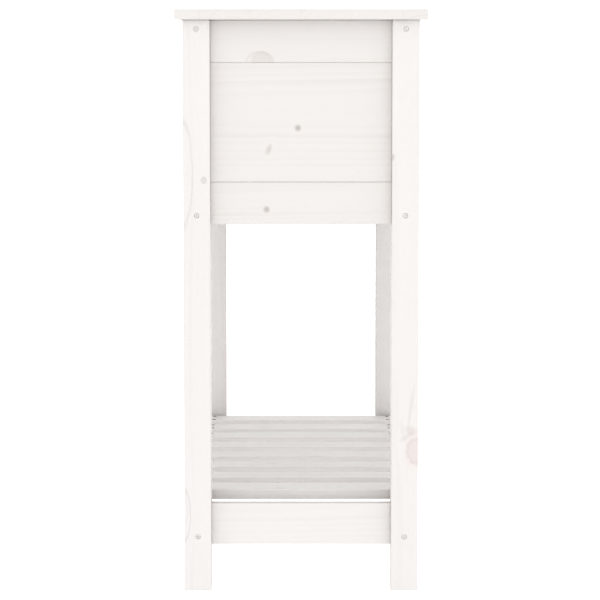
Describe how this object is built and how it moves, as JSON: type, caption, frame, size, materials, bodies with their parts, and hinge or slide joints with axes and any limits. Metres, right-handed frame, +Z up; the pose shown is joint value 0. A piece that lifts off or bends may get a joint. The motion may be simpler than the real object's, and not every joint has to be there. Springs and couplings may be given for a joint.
{
  "type": "potting bench",
  "caption": "Narrow white pine potting bench: flat worktop, box below it with closed ends and back, an open front and a slatted floor, and a slatted shelf near the ground.",
  "frame": {"origin": "on the ground, under the middle of the worktop", "axes": "+X along the bench to its right end, +Y from the open front towards the back, +Z up"},
  "size_m": [0.825, 0.35, 0.815],
  "materials": {
    "painted_pine": "thin white satin paint over planed pine, grain and knots showing through",
    "zinc_steel": "zinc plated, dull"
  },
  "bodies": {
    "root": {"back_box_rail": "painted_pine", "back_floor_cleat": "painted_pine", "back_infill_board": "painted_pine", "back_shelf_rail": "painted_pine", "back_top_rail": "painted_pine", "floor_slat_1": "painted_pine", "floor_slat_2": "painted_pine", "floor_slat_3": "painted_pine", "floor_slat_4": "painted_pine", "floor_slat_5": "painted_pine", "floor_slat_6": "painted_pine", "floor_slat_7": "painted_pine", "floor_slat_8": "painted_pine", "front_box_rail": "painted_pine", "front_floor_cleat": "painted_pine", "front_shelf_rail": "painted_pine", "front_top_rail": "painted_pine", "left_box_rail": "painted_pine", "left_infill_board": "painted_pine", "left_shelf_rail": "painted_pine", "left_top_cleat": "painted_pine", "left_top_rail": "painted_pine", "leg_back_left": "painted_pine", "leg_back_right": "painted_pine", "leg_front_left": "painted_pine", "leg_front_right": "painted_pine", "right_box_rail": "painted_pine", "right_infill_board": "painted_pine", "right_shelf_rail": "painted_pine", "right_top_cleat": "painted_pine", "right_top_rail": "painted_pine", "screw_back_left_box": "zinc_steel", "screw_back_left_shelf": "zinc_steel", "screw_back_left_top": "zinc_steel", "screw_back_right_box": "zinc_steel", "screw_back_right_shelf": "zinc_steel", "screw_back_right_top": "zinc_steel", "screw_front_left_box": "zinc_steel", "screw_front_left_shelf": "zinc_steel", "screw_front_left_top": "zinc_steel", "screw_front_right_box": "zinc_steel", "screw_front_right_shelf": "zinc_steel", "screw_front_right_top": "zinc_steel", "shelf_slat_1": "painted_pine", "shelf_slat_2": "painted_pine", "shelf_slat_3": "painted_pine", "shelf_slat_4": "painted_pine", "shelf_slat_5": "painted_pine", "shelf_slat_6": "painted_pine", "shelf_slat_7": "painted_pine", "shelf_slat_8": "painted_pine", "worktop": "painted_pine", "worktop_batten": "painted_pine"}
  },
  "joints": []
}
